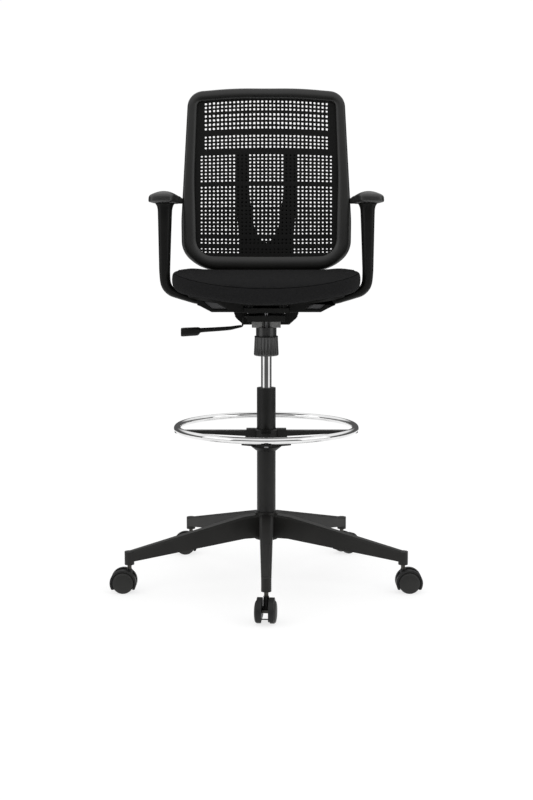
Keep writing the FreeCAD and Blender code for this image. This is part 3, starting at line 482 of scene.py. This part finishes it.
def rounded_outline(corners, count):
    """Evenly spaced points round a polygon whose corners are arcs; corners are (x, z, radius)."""
    dense = []
    total = len(corners)
    for i in range(total):
        before, here, after = (Vector(corners[k % total][:2]) for k in (i - 1, i, i + 1))
        radius = corners[i][2]
        inward = (before - here).normalized()
        outward = (after - here).normalized()
        half = inward.angle(outward) / 2
        reach = radius / math.tan(half)
        centre = here + (inward + outward).normalized() * (radius / math.sin(half))
        first = here + inward * reach - centre
        last = here + outward * reach - centre
        sweep = first.angle(last)
        turn = 1 if first.x * last.y - first.y * last.x > 0 else -1
        for k in range(41):
            angle = turn * sweep * k / 40
            cosine, sine = math.cos(angle), math.sin(angle)
            offset = Vector((first.x * cosine - first.y * sine, first.x * sine + first.y * cosine))
            dense.append(centre + offset)
    lengths = [0.0]
    for a, b in zip(dense, dense[1:] + dense[:1]):
        lengths.append(lengths[-1] + (b - a).length)
    closed = dense + dense[:1]
    xs = np.interp(np.linspace(0, lengths[-1], count, endpoint=False), lengths, [p.x for p in closed])
    zs = np.interp(np.linspace(0, lengths[-1], count, endpoint=False), lengths, [p.y for p in closed])
    return [Vector((x, z)) for x, z in zip(xs, zs)]


FRAME_OUTER = [(0.172, 0, 0.115), (0.2315, 0.047, 0.068), (0.233, 0.137, 0.4), (0.215, 0.4915, 0.048),
               (0.09, 0.508, 0.8), (-0.09, 0.508, 0.8), (-0.215, 0.4915, 0.048), (-0.233, 0.137, 0.4),
               (-0.2315, 0.047, 0.068), (-0.172, 0, 0.115)]
FRAME_INNER = [(0.190, 0.0395, 0.045), (0.196, 0.254, 1.2), (0.189, 0.464, 0.014), (0.08, 0.4765, 0.8),
               (-0.08, 0.4765, 0.8), (-0.189, 0.464, 0.014), (-0.196, 0.254, 1.2), (-0.190, 0.0395, 0.045)]


def nearest_on(loop, point):
    """Closest point of a closed polyline."""
    best, distance = None, 1e9
    for a, b in zip(loop, loop[1:] + loop[:1]):
        run = b - a
        t = max(0.0, min(1.0, (point - a).dot(run) / run.length_squared))
        spot = a + run * t
        if (spot - point).length < distance:
            best, distance = spot, (spot - point).length
    return best


RIM_SECTION = [  # share of the way from the rim's inner edge to its outer edge, depth behind its front
    (0.0, 0.0068), (0.008, 0.0055), (0.03, 0.0042), (0.075, 0.0032), (0.13, 0.0020), (0.25, 0.0009),
    (0.45, 0.0003), (0.65, 0.0008), (0.8, 0.0021), (0.9, 0.0043), (0.96, 0.0070), (0.99, 0.0098),
    (1.0, 0.0125), (0.99, 0.0155), (0.955, 0.0180), (0.9, 0.0195), (0.75, 0.0199), (0.4, 0.0199),
    (0.12, 0.0199), (0.04, 0.0196), (0.012, 0.0180), (0.0, 0.0155)]


def make_back_frame():
    """The back's moulded rim: a crowned band whose inner edge rolls in to grip the mesh."""
    count = 360
    outer = rounded_outline(FRAME_OUTER, count)
    inner = rounded_outline(FRAME_INNER, count * 2)
    rings = []
    for point in outer:
        near = nearest_on(inner, point)
        for share, depth in RIM_SECTION:
            spot = near.lerp(point, share)
            rings.append(on_back(spot.x, depth, spot.y))
    faces = ring_faces(count, len(RIM_SECTION), closed_rings=True)
    piece = new_piece("back_rim", rings, faces, "seat", FRAME, ("back_frame",))
    modify(piece, "SUBSURF", levels=1)
    shade_smooth(piece)


KNIT_COLUMNS = 33
KNIT_PITCH = 0.0111
KNIT_BANDS = [  # heights of the first and last row of holes, rows, columns closed at each side, hole / pitch
    (0.4708, 0.4494, 3, 1, 0.46), (0.4352, 0.3989, 4, 1, 0.47), (0.3755, 0.3449, 4, 1, 0.46),
    (0.3214, 0.2513, 8, 0, 0.42), (0.2332, 0.1802, 6, 0, 0.41), (0.1677, 0.1347, 4, 0, 0.36),
    (0.1240, 0.1034, 3, 0, 0.36), (0.0866, 0.0770, 2, 0, 0.38), (0.0600, 0.0511, 2, 0, 0.36)]


def make_back_mesh():
    """Knitted back: bands of square openings between closed bands, with every yarn slightly uneven."""
    chance = random.Random(7)
    middles = [KNIT_PITCH * (i - (KNIT_COLUMNS - 1) / 2) for i in range(KNIT_COLUMNS)]
    heights = [(0.0365, 0.4), (0.043, 0.4)]
    closed = {}
    for first, last, rows, shut, share in reversed(KNIT_BANDS):
        step = (first - last) / (rows - 1)
        for k in range(rows):
            closed[len(heights)] = shut
            for sign in (-1, 1):
                heights.append((last + step * (k + sign * share / 2), share))
    heights += [(0.4770, 0.4), (0.4805, 0.4)]
    verts = []
    for up, share in heights:
        half = KNIT_PITCH * share / 2
        across = [-0.1985, -0.192] + [x for middle in middles for x in (middle - half, middle + half)]
        for x in across + [0.192, 0.1985]:
            droop = 0.014 * max(up / 0.475, 0) ** 1.2 * (x / 0.185) ** 2
            verts.append((x + chance.gauss(0, 0.00025), up - droop + chance.gauss(0, 0.00025)))
    wide = 2 * KNIT_COLUMNS + 4
    window = rounded_outline(FRAME_INNER, 240)
    faces = []
    for row in range(len(heights) - 1):
        for column in range(wide - 1):
            open_column = column % 2 == 0 and 2 <= column < wide - 2
            if row in closed and open_column and closed[row] <= column // 2 - 1 < KNIT_COLUMNS - closed[row]:
                continue
            corner = row * wide + column
            face = (corner, corner + 1, corner + wide + 1, corner + wide)
            # The sheet's edge lies inside the rim's rolled lip.
            middle = sum((Vector(verts[i]) for i in face), Vector((0, 0))) / 4
            if inside(window, middle, 0.005):
                faces.append(face)
    placed = [on_back(x, 0.0088, z) for x, z in verts]
    piece = new_piece("back_knit", placed, faces, "seat", BACK_FABRIC, ("back_mesh",))
    work = bmesh.new()
    work.from_mesh(piece.data)
    loose = [v for v in work.verts if not v.link_faces]
    bmesh.ops.delete(work, geom=loose, context="VERTS")
    work.to_mesh(piece.data)
    work.free()
    modify(piece, "SOLIDIFY", thickness=0.0011, offset=0)
    modify(piece, "BEVEL", width=0.0009, segments=2, limit_method="ANGLE", angle_limit=math.radians(40))
    shade_smooth(piece)


def inside(loop, point, margin):
    """True if the point is in the closed loop or within a margin outside it."""
    if (nearest_on(loop, point) - point).length < margin:
        return True
    hits = 0
    for a, b in zip(loop, loop[1:] + loop[:1]):
        if (a.y > point.y) != (b.y > point.y):
            if point.x < a.x + (b.x - a.x) * (point.y - a.y) / (b.y - a.y):
                hits += 1
    return hits % 2 == 1


# ---- arms --------------------------------------------------------------------------------------

ARM_KEYS = [  # centre across, centre height, half thickness, half depth, all in mm
    (262.5, 1008.0, 24.5, 32), (262.5, 1005.5, 23.4, 31.4), (262.5, 1000, 20.4, 30.6),
    (262.6, 993, 18.6, 30), (262.8, 980, 17.7, 29.6), (263.6, 930, 16.2, 29.2), (264.4, 870, 14.6, 29.0),
    (264.6, 825, 13.4, 29.0), (261.0, 797, 12.6, 29.0), (248.0, 780, 11.4, 29.0), (228.0, 771, 10.0, 29.2),
    (205.0, 762.5, 8.4, 29.5), (190.0, 757.3, 7.6, 29.8), (177.5, 754.4, 7.4, 30)]
LINK_KEYS = [  # centre across, centre depth, half width, centre height, half height, all in mm
    (264.5, 117, 13.0, 1018.5, 14.5), (264.5, 128, 13.0, 1018.5, 14.5), (263.5, 140, 12.0, 1021.5, 11.5),
    (258.5, 155, 10.0, 1022, 11), (249.5, 168, 9.0, 1022, 11), (239.5, 176, 8.6, 1021, 10),
    (231.6, 179, 8.4, 1018.5, 7.5)]
PAD_REST = [  # outline in mm of the plate under the pad and its tongue to the link
    (249, -60), (280, -60), (280, 60), (277, 70), (277, 118), (252, 118), (252, 70), (249, 60)]
PAD_REST_HEIGHTS = (1005.0, 1008.0)
ARM_MIDDLE = -20          # depth of the arm post's middle in mm
ARM_POWER = 3.6           # squareness of the arm's section, and below of the link's
LINK_POWER = 5


def make_arm(side, word):
    """Arm post that curves in to its foot, the rest under the pad, and the link to the back."""
    rows = smooth_path(ARM_KEYS, 8)
    verts = []
    around = 40
    for i, row in enumerate(rows):
        before = rows[max(i - 1, 0)]
        after = rows[min(i + 1, len(rows) - 1)]
        run = Vector((after[0] - before[0], 0, after[1] - before[1])).normalized()
        across = Vector((-run.z, 0, run.x))
        centre = Vector((row[0], ARM_MIDDLE, row[1]))
        for point in superellipse(centre, across, Vector((0, 1, 0)), row[2], row[3], ARM_POWER, around):
            verts.append(Vector((side * point.x, point.y, point.z)) * MM)
    faces = ring_faces(len(rows), around)
    base = len(verts)
    verts += [Vector((side * x, y, z)) * MM for z in PAD_REST_HEIGHTS for x, y in PAD_REST]
    faces += [tuple(base + i for i in face) for face in ring_faces(2, len(PAD_REST))]
    base = len(verts)
    link = smooth_path(LINK_KEYS, 6)
    for i, row in enumerate(link):
        run = Vector(link[min(i + 1, len(link) - 1)][:2]) - Vector(link[max(i - 1, 0)][:2])
        across = Vector((-run.y, run.x, 0)).normalized()
        centre = Vector((row[0], row[1], row[3]))
        for point in superellipse(centre, across, Vector((0, 0, 1)), row[2], row[4], LINK_POWER, around):
            verts.append(Vector((side * point.x, point.y, point.z)) * MM)
    faces += [tuple(base + i for i in face) for face in ring_faces(len(link), around)]
    piece = new_piece("arm_shell_" + word, verts, faces, "seat", BLACK, ("arm_" + word,))
    soft_corners(piece, 0.0008)


PAD_UNDER = 1008.2
PAD_LEAN = 3.5            # shift of the pad's top toward the seat, in mm
LEAN_HEIGHT = 28.6        # height above the underside at which that shift is full
PAD_POWER = 2 / 6         # squareness of the pad's outline
PAD_RINGS = [  # height above the pad's underside in mm, inset of the outline in mm
    (0.3, 14.0), (0.3, 4.0), (1.1, 1.7), (2.8, 0.5), (6.0, 0.1), (14.0, 0.1), (17.2, 0.9), (19.6, 2.8),
    (21.8, 6.0), (24.0, 11.0), (26.0, 17.0), (27.6, 23.5), (28.4, 30.0)]


def make_armpad(side, word):
    """A soft pad with a crowned top and an undercut edge."""
    count = 96
    middle_x, half_x = 264.5, 35.4
    middle_y, half_y = -7.5, 122.4
    verts = []
    for up, inset in PAD_RINGS:
        for j in range(count):
            angle = 2 * math.pi * j / count
            cosine, sine = math.cos(angle), math.sin(angle)
            along = math.copysign(abs(sine) ** PAD_POWER, sine)
            out = math.copysign(abs(cosine) ** PAD_POWER, cosine)
            waist = 1 - 0.07 * (0.5 + 0.5 * math.sin(along * 1.6 + 0.2))
            x = out * (half_x - inset) * waist
            x -= PAD_LEAN * (up / LEAN_HEIGHT) ** 2
            y = along * (half_y - inset)
            sag = 1.4 * (x / half_x) ** 2 + 1.4 * x / half_x + 2.4 * max(0, abs(y) / half_y - 0.6)
            verts.append(Vector((side * (middle_x + x), middle_y + y, PAD_UNDER + up - sag * up / 30)) * MM)
    faces = ring_faces(len(PAD_RINGS), count, caps=False)
    for base, height in ((0, PAD_RINGS[0][0]), ((len(PAD_RINGS) - 1) * count, PAD_RINGS[-1][0] + 0.1)):
        verts.append(Vector((side * middle_x, middle_y, PAD_UNDER + height)) * MM)
        tip = len(verts) - 1
        for j in range(count):
            faces.append((base + j, base + (j + 1) % count, tip))
    piece = new_piece("armrest_" + word, verts, faces, "seat", PAD, ("armpad_" + word,))


# ---- seat cushion ------------------------------------------------------------------------------

SEAT_MIDDLE = -0.037       # middle of the cushion from front to rear
SEAT_APEX = 0.04           # where the crown is highest
SEAT_CROWN = 0.8315
SEAT_HALF_WIDTH = 0.2465
SEAT_HALF_DEPTH = 0.217


def seat_plan(angle):
    """Point of the cushion's plan outline in the direction of an angle, from the cushion's middle."""
    cosine, sine = math.cos(angle), math.sin(angle)
    power = 2 / (3.3 if sine < 0 else 4.6)
    x = math.copysign(abs(cosine) ** power, cosine)
    y = math.copysign(abs(sine) ** power, sine)
    half = SEAT_HALF_WIDTH - 0.018 * max(y, 0) ** 2 - 0.008 * max(-y, 0) ** 2
    return x * half, y * SEAT_HALF_DEPTH


def ramp(value, start, end):
    """Share of the way from start to end, kept between 0 and 1."""
    return min(max((value - start) / (end - start), 0.0), 1.0)


def underside(x, y):
    """Height of the cushion's underside, whose front lip hangs below the pan's edge."""
    lip = 0.0060 * math.exp(-(x / 0.17) ** 2) * ramp(y, -0.224, -0.240)
    return CUSHION_UNDER + x * x / (2 * SEAT_BOW) - lip


def seam_height(x, y):
    """Height of the seam between the cushion's top panel and its boxed edge."""
    dip = 0.0040 * math.exp(-(x / 0.2) ** 2) * ramp(y, -0.10, -0.24)
    shoulder = 0.0065 * (x / SEAT_HALF_WIDTH) ** 4 * ramp(y, -0.16, 0.02)
    return CUSHION_UNDER + x * x / (2 * SEAT_BOW) + 0.042 + 0.045 * (y + 0.25) - dip - shoulder


def crown(x, y):
    """Height of the cushion's top away from its edge."""
    return max(SEAT_CROWN - (y - SEAT_APEX) ** 2 / 3.6, seam_height(x, y) + 0.0025)


BOX_RINGS = [  # share of the plan's half-size, share of the height from the underside to the seam
    (0.0, 0.0), (0.35, 0.0), (0.65, 0.0), (0.86, 0.0), (0.945, 0.04), (0.978, 0.2), (0.99, 0.45),
    (0.99, 0.7), (0.984, 0.9)]
TOP_RINGS = [  # share of the plan's half-size, share of the height from the seam to the crown
    (0.975, 0.0), (0.957, 0.3), (0.93, 0.52), (0.88, 0.76), (0.8, 0.92), (0.68, 1.0), (0.5, 1.0),
    (0.25, 1.0), (0.0, 1.0)]
SWELL_LIMIT = 0.0025
SEAM_POINTS = 240


def make_cushion():
    """Foam cushion under stretched fabric: a crowned top panel over a boxed edge with a stitched seam."""
    count = 120
    verts = []
    for index, (out, share) in enumerate(BOX_RINGS + TOP_RINGS):
        for j in range(count):
            x, y = seat_plan(2 * math.pi * j / count)
            x, y = x * out, SEAT_MIDDLE + y * out
            seam = seam_height(x, y)
            if index < len(BOX_RINGS):
                z = underside(x, y) + (seam - underside(x, y)) * share
            else:
                z = seam + (crown(x, y) - seam) * share
            verts.append(Vector((x, y, z)))
    faces = ring_faces(len(BOX_RINGS) + len(TOP_RINGS), count, caps=False)
    piece = new_piece("cushion", verts, faces, "seat", SEAT_FABRIC, ("seat_cushion",))
    weld(piece, 1e-6)
    modify(piece, "REMESH", mode="VOXEL", voxel_size=0.005)
    swell(piece, SWELL_LIMIT)
    modify(piece, "SUBSURF", levels=1)
    route = seam_route(piece)
    sew(piece)
    outward(piece.data)
    shade_smooth(piece)
    lay_thread(route)


def swell(piece, limit):
    """Inflate the cover a little by cloth pressure, then keep every point within a limit."""
    start = [vertex.co.copy() for vertex in piece.data.vertices]
    cloth = piece.modifiers.new("cloth", "CLOTH")
    cloth.settings.use_pressure = True
    cloth.settings.uniform_pressure_force = 4
    cloth.settings.tension_stiffness = 20
    cloth.settings.compression_stiffness = 20
    cloth.settings.bending_stiffness = 2
    cloth.settings.effector_weights.gravity = 0
    cloth.point_cache.frame_start = 1
    cloth.point_cache.frame_end = 20
    for frame_number in range(1, 21):
        scene.frame_set(frame_number)
    bake(piece)
    scene.frame_set(1)
    for vertex, before in zip(piece.data.vertices, start):
        move = vertex.co - before
        if move.length > limit:
            vertex.co = before + move.normalized() * limit


def seam_route(piece):
    """Points of the seam on the cover, evenly spread in angle about the cushion's middle."""
    points = [v.co for v in piece.data.vertices]
    tree = BVHTree.FromPolygons(points, [p.vertices for p in piece.data.polygons])
    route = []
    for j in range(SEAM_POINTS):
        x, y = seat_plan(2 * math.pi * j / SEAM_POINTS)
        x, y = x * 0.975, SEAT_MIDDLE + y * 0.975
        route.append(tree.find_nearest(Vector((x, y, seam_height(x, y))))[0])
    return route


def sew(piece):
    """Press the seam into the cover."""
    for vertex in piece.data.vertices:
        x, y, z = vertex.co
        edge = Vector((x, y - SEAT_MIDDLE, 0))
        off = z - seam_height(x, y)
        if edge.length > 0.12 and abs(off) < 0.008:
            vertex.co -= edge.normalized() * 0.0012 * math.exp(-(off / 0.0025) ** 2)


def lay_thread(route):
    """The stitched line along the seam: a flat cord half sunk in the cover."""
    around = 8
    verts = []
    for i, spot in enumerate(route):
        run = (route[(i + 1) % len(route)] - route[i - 1]).normalized()
        out = run.cross(Vector((0, 0, 1))).normalized()
        up = out.cross(run)
        centre = spot - out * 0.0011
        verts += superellipse(centre, out, up, 0.0011, 0.0009, 2, around)
    faces = ring_faces(len(route), around, closed_rings=True)
    new_piece("cushion_seam", verts, faces, "seat", THREAD)


# ---- mechanism ---------------------------------------------------------------------------------

KNOB_FLUTES = 20
FLUTE_DEPTH = 0.0019
KNOB_PROFILE = [
    (0.020, 0.0), (0.0285, 0.0), (0.0310, 0.0012), (0.0322, 0.0034), (0.0322, 0.0060), (0.0302, 0.0480),
    (0.0298, 0.0486), (0.0278, 0.0486), (0.0276, 0.0440), (0.0276, 0.0061), (0.0101, 0.0061),
    (0.0101, 0.0158), (0.0060, 0.0158), (0.0060, 0.0)]
FLUTED_ROWS = (3, 4, 5)
KNOB_BAND = [(0.0277, 0.0484), (0.0303, 0.0484), (0.0305, 0.0490), (0.0303, 0.0506), (0.0298, 0.0510),
             (0.0277, 0.0510)]


def make_knob():
    """Fluted hand knob with a rolled lower lip and a plain band round its top, coloured black as painted shade for
    the knob's shadowed top rim.
    """
    low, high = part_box("tension_knob")
    centre = (low + high) / 2
    around = KNOB_FLUTES * 8
    verts = []
    for index, (radius, up) in enumerate(KNOB_PROFILE):
        for j in range(around):
            angle = 2 * math.pi * j / around
            flute = 0.0
            if index in FLUTED_ROWS:
                flute = FLUTE_DEPTH * (0.5 + 0.5 * math.cos(angle * KNOB_FLUTES)) ** 2
            verts.append((centre.x + (radius - flute) * math.cos(angle),
                          centre.y + (radius - flute) * math.sin(angle), low.z + up))
    faces = ring_faces(len(KNOB_PROFILE), around, closed_rings=True)
    new_piece("knob_grip", verts, faces, "knob", KNOB, ("tension_knob",))
    place = Matrix.Translation((centre.x, centre.y, low.z))
    # The band is black, darker than the knob: painted shade along the knob's top rim.
    lathe("knob_band_painted_shade", KNOB_BAND, "knob", BLACK, place=place, bevel=0.0003)


HANDLE_KEYS = [  # distance across, centre height, half height, half depth, all in mm
    (66, 688.5, 3.3, 3.3), (80, 686.0, 4.2, 4.2), (96, 683.2, 5.0, 5.5), (130, 680.6, 5.4, 6.5),
    (168, 678.2, 5.9, 7.5), (174, 677.2, 7.0, 9.5), (180, 675.2, 10.6, 14.0), (200, 673.9, 11.1, 16.4),
    (218, 673.0, 11.3, 16.6), (223.6, 672.8, 10.6, 15.6)]


def make_handle():
    """Moulded handle on the height lever: a slim neck that steps out to a flat blade."""
    around = 32
    low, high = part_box("lever_grip")
    middle = (low.y + high.y) / 2 / MM
    side = math.copysign(1, low.x + high.x)
    verts = []
    rows = smooth_path(HANDLE_KEYS, 6)
    for across, up, tall, deep in rows:
        centre = Vector((side * across, middle, up))
        for point in superellipse(centre, Vector((0, 1, 0)), Vector((0, 0, 1)), deep, tall, 4, around):
            verts.append(point * MM)
    body, slot = body_of("lever_grip"), slot_of("lever_grip")
    faces = ring_faces(len(rows), around)
    piece = new_piece("lever_handle", verts, faces, body, BLACK, ("lever_grip",))
    soft_corners(piece, 0.0012)


# ---- casters -----------------------------------------------------------------------------------

WHEEL_INNER = 0.0102      # distance of the wheel's inner and outer faces from the caster's middle
WHEEL_OUTER = 0.0282


def wheel_profile(width):
    """Section of a wheel: radius, height above the inner face."""
    inner = [(0.0042, 0.0), (0.0205, 0.0), (0.0215, 0.0010), (0.0250, 0.0010), (0.0272, 0.0006),
             (0.0280, 0.0018)]
    outer = [(0.0280, 0.0085), (0.0274, 0.0062), (0.0258, 0.0040), (0.0225, 0.0024), (0.0160, 0.0012),
             (0.0080, 0.0006), (0.0, 0.0004), (0.0, 0.0019), (0.0042, 0.0019)]
    return inner + [(radius, width - depth) for radius, depth in outer]


def make_wheels():
    """A domed wheel for every wheel joint, set out along the joint's axis."""
    for joint in frame["joints"]:
        if not joint["name"].startswith("wheel_"):
            continue
        body = joint["child"]
        node = frame["record"]["behaviour"]["bodies"][body][0]
        low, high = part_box(node)
        centre = Vector(joint["pos_m"])
        out = Vector(joint["axis"]).normalized()
        middle = (low + high) / 2
        if (middle - centre).dot(out) < 0:
            out = -out
        width = WHEEL_OUTER - WHEEL_INNER
        base = centre + out * WHEEL_INNER
        turn = out.to_track_quat("Z", "Y").to_matrix().to_4x4()
        place = Matrix.Translation(base) @ turn
        lathe(node + "_tyre", wheel_profile(width), body, WHEEL, (node,), place, 96, 0.0003)


# ---- bracket panels ----------------------------------------------------------------------------

PANEL_CORNERS = [(0.1385, 0.7385), (0.162, 0.7565), (0.127, 0.7525), (0.1025, 0.7385)]
PANEL_THICK = 0.0012
RECESS_DEPTH = 0.0042     # where the panel's rear lies behind the bracket's front


def make_panels():
    """Light grey inserts that lie in the recesses of the arm brackets."""
    for side, word in ((-1, "right"), (1, "left")):
        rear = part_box("arm_bracket_" + word)[0].y + RECESS_DEPTH
        verts = [(side * x, y, z) for y in (rear - PANEL_THICK, rear) for x, z in PANEL_CORNERS]
        piece = new_piece("bracket_panel_" + word, verts, ring_faces(2, 4), "seat", PANEL)
        soft_corners(piece, 0.0004)


# ---- assembly ----------------------------------------------------------------------------------

SOFTENED = [  # node, material, edge rounding in metres
    ("base_star", BASE, 0.0016), ("column_tube", STEEL_BLACK, 0.0008), ("tilt_housing", STEEL_BLACK, 0.0012),
    ("mount_block", ZINC, 0.0014), ("pivot_covers", BLACK, 0.0016), ("seat_plate", STEEL_BLACK, 0.0012),
    ("seat_pan", BLACK, 0.0010), ("arm_bracket_right", BLACK, 0.0014), ("arm_bracket_left", BLACK, 0.0014),
    ("back_support", BLACK, 0.0016), ("back_bracket", STEEL_BLACK, 0.0010), ("foot_ring_hub", BLACK, 0.0012),
    ("foot_ring_spokes", BLACK, 0.0014), ("clamp_collar", BLACK, 0.0010)]

KEPT = {  # CAD nodes that keep their own shape
    "caster_sleeves": STEEL, "guide_bushing": BLACK, "thrust_bearing": STEEL, "piston_rod": CHROME,
    "retaining_clip": STEEL, "lift_cylinder": CHROME, "release_pin": STEEL, "pivot_pin": STEEL,
    "spring_cup": KNOB, "tension_bolt": STEEL, "tension_spring": STEEL, "lever_bushing": BLACK,
    "height_lever": STEEL_BLACK, "seat_bolts": STEEL_BLACK, "arm_screws": STEEL_BLACK,
    "foot_ring_tube": CHROME, "ring_screws": STEEL,
}


def main():
    make_camera()
    make_studio()
    for node, material, width in SOFTENED:
        soften(node, material, width)
    for node, material in KEPT.items():
        dress(node, material)
    make_back_frame()
    make_back_mesh()
    for side, word in ((-1, "right"), (1, "left")):
        make_arm(side, word)
        make_armpad(side, word)
    make_cushion()
    make_knob()
    make_handle()
    make_wheels()
    make_panels()
    for node in frame["nodes"]:
        if node.endswith("_hood"):
            soften(node, CASTER, 0.0010)
        if node.endswith("_pins"):
            dress(node, DARK_STEEL)


main()
